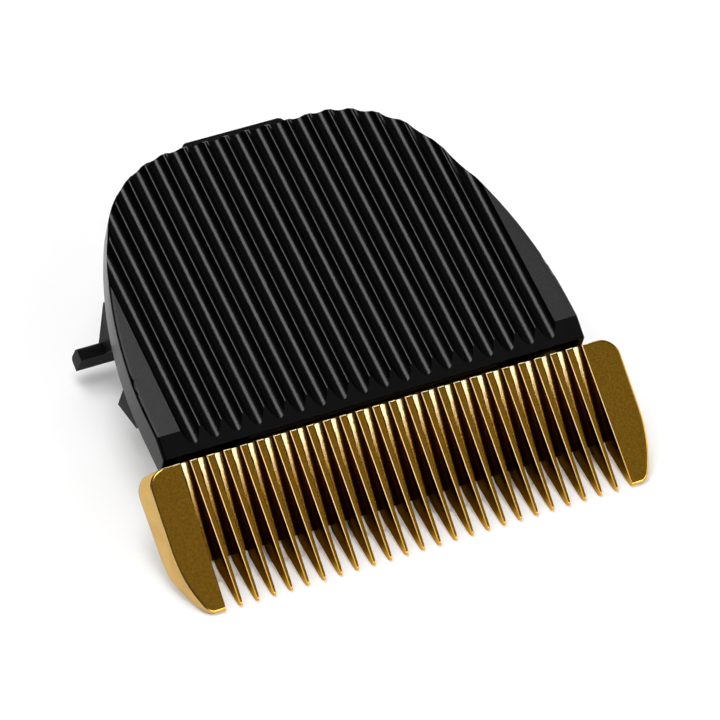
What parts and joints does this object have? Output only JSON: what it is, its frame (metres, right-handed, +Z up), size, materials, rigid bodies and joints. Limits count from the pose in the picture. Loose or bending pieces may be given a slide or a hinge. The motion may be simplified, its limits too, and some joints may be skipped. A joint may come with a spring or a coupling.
{
  "type": "hair clipper blade set",
  "caption": "Snap-in hair clipper blade set: gold toothed comb under a ribbed black cover, with a sliding ceramic cutter, a fork driver and a length adjuster.",
  "frame": {"origin": "on the floor, below the middle of the object's box, with the set lying on its comb tips and frame cheeks", "axes": "+X along the tooth row, +Y to the rear away from the teeth, +Z up"},
  "size_m": [0.0464, 0.0436, 0.0161],
  "materials": {
    "black_plastic": "satin moulded, near black",
    "frame_plastic": "matt moulded, near black",
    "gold_steel": "gold hard coating on ground steel",
    "white_ceramic": "ground white ceramic",
    "spring_steel": "drawn wire",
    "screw_steel": "zinc plated"
  },
  "bodies": {
    "base": {"ribbed_cover": "black_plastic", "comb_blade": "gold_steel", "comb_screws": "screw_steel", "chassis_frame": "frame_plastic", "chassis_screws": "screw_steel"},
    "adjuster": {"adjust_slide": "frame_plastic", "pressure_spring": "spring_steel"},
    "cutter": {"cutter_blade": "white_ceramic", "cutter_driver": "frame_plastic"}
  },
  "joints": [
    {"name": "length_adjust", "type": "slide", "parent": "base", "child": "adjuster", "axis": [0, 0.832, 0.5548], "range_m": [0, 0.002]},
    {"name": "cutter_stroke", "type": "slide", "parent": "adjuster", "child": "cutter", "axis": [1, 0, 0], "range_m": [-0.00102, 0.00148]}
  ]
}
